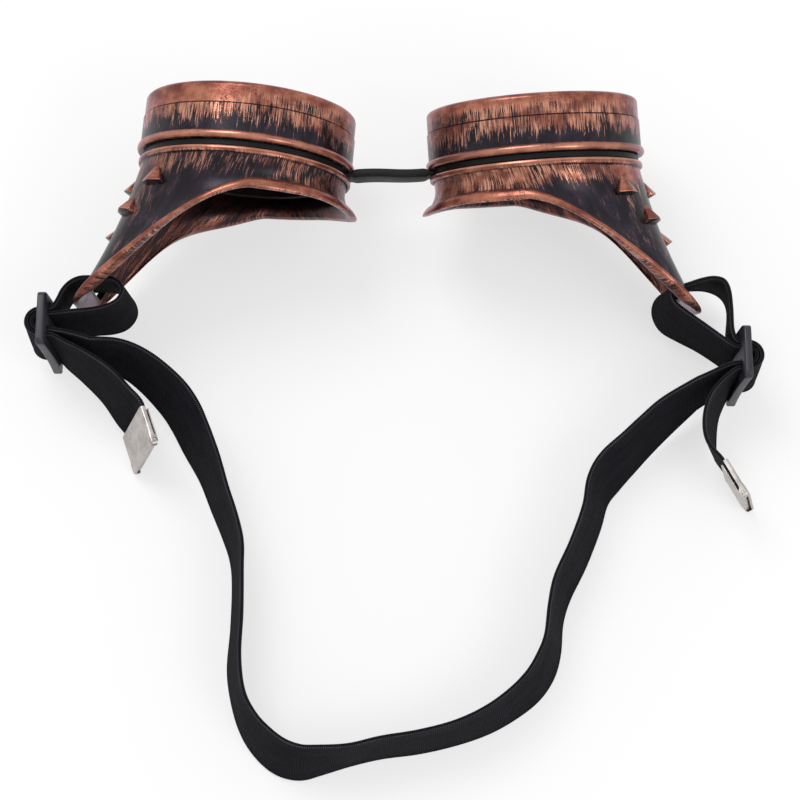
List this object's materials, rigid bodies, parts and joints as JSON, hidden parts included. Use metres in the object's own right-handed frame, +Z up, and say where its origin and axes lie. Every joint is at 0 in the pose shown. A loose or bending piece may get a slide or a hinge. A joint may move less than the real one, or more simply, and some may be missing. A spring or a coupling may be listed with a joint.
{
  "type": "steampunk goggles",
  "caption": "Round-lens goggles with thorned tapering eyecups, screw rings, rubber bridge band and black elastic head strap with plastic sliders and metal end clips",
  "frame": {"origin": "Centre of the underside of the whole object's box as it lies on a table, cheek side down", "axes": "+X to the right eyecup seen from behind, +Y the way the lenses face, +Z up from the table toward the brow side"},
  "size_m": [0.2054, 0.1946, 0.0636],
  "materials": {
    "aged_copper": "semi-gloss, dark base with copper dry-brushed streaks and edges",
    "smoked_lens": "polished, dark tinted",
    "gasket_rubber": "matt",
    "bridge_rubber": "satin moulded",
    "strap_elastic": "ribbed elastic webbing",
    "slider_plastic": "satin moulded",
    "clip_nickel": "satin nickel plated"
  },
  "bodies": {
    "bridge": {"bridge_band": "bridge_rubber", "head_strap": "strap_elastic"},
    "left_eyecup": {"left_cup": "aged_copper", "left_strap_end": "strap_elastic", "left_clip_body": "clip_nickel", "left_clip_pin": "clip_nickel"},
    "left_insert": {"left_lens": "smoked_lens", "left_gasket": "gasket_rubber"},
    "left_screw_ring": {"left_ring": "aged_copper"},
    "left_buckle": {"left_slider": "slider_plastic"},
    "left_gripper": {"left_clip_jaw": "clip_nickel"},
    "right_eyecup": {"right_cup": "aged_copper", "right_strap_end": "strap_elastic", "right_clip_body": "clip_nickel", "right_clip_pin": "clip_nickel"},
    "right_insert": {"right_lens": "smoked_lens", "right_gasket": "gasket_rubber"},
    "right_screw_ring": {"right_ring": "aged_copper"},
    "right_buckle": {"right_slider": "slider_plastic"},
    "right_gripper": {"right_clip_jaw": "clip_nickel"}
  },
  "joints": [
    {"name": "left_fold", "type": "hinge", "parent": "bridge", "child": "left_eyecup", "pos_m": [-0.00976, 0.06822, 0.02984], "axis": [0, 0, 1], "range_deg": [-20, 25], "stiffness_Nm_per_rad": 0.02, "deforming": ["bridge_band", "head_strap"]},
    {"name": "left_lens_travel", "type": "slide", "parent": "left_eyecup", "child": "left_insert", "axis": [0.099, 0.9749, 0.1994], "range_m": [0, 0.006]},
    {"name": "left_ring_turn", "type": "hinge", "parent": "left_insert", "child": "left_screw_ring", "pos_m": [-0.04039, 0.08832, 0.03328], "axis": [0.099, 0.9749, 0.1994], "range_deg": [0, 720]},
    {"name": "left_slider_slide", "type": "slide", "parent": "left_eyecup", "child": "left_buckle", "axis": [1, 0, 0], "range_m": [-0.008, 0.005], "deforming": ["left_strap_end"]},
    {"name": "left_jaw_hinge", "type": "hinge", "parent": "left_eyecup", "child": "left_gripper", "pos_m": [-0.06922, -0.0075, 0.0108], "axis": [-0.3234, -0.1114, -0.9397], "range_deg": [0, 60]},
    {"name": "right_fold", "type": "hinge", "parent": "bridge", "child": "right_eyecup", "pos_m": [0.00739, 0.06927, 0.03035], "axis": [0, 0, -1], "range_deg": [-20, 25], "stiffness_Nm_per_rad": 0.02, "deforming": ["bridge_band", "head_strap"]},
    {"name": "right_lens_travel", "type": "slide", "parent": "right_eyecup", "child": "right_insert", "axis": [-0.0692, 0.943, 0.3256], "range_m": [0, 0.006]},
    {"name": "right_ring_turn", "type": "hinge", "parent": "right_insert", "child": "right_screw_ring", "pos_m": [0.03861, 0.08792, 0.03597], "axis": [-0.0692, 0.943, 0.3256], "range_deg": [0, 720]},
    {"name": "right_slider_slide", "type": "slide", "parent": "right_eyecup", "child": "right_buckle", "axis": [-1, 0, 0], "range_m": [-0.008, 0.005], "deforming": ["right_strap_end"]},
    {"name": "right_jaw_hinge", "type": "hinge", "parent": "right_eyecup", "child": "right_gripper", "pos_m": [0.09702, -0.02083, 0.01104], "axis": [-0.1836, -0.0976, 0.9781], "range_deg": [0, 60]}
  ],
  "couplings": [
    {"joint": "left_ring_turn", "follows": "left_lens_travel", "rad_per_m": 2094.4},
    {"joint": "right_ring_turn", "follows": "right_lens_travel", "rad_per_m": 2094.4}
  ]
}
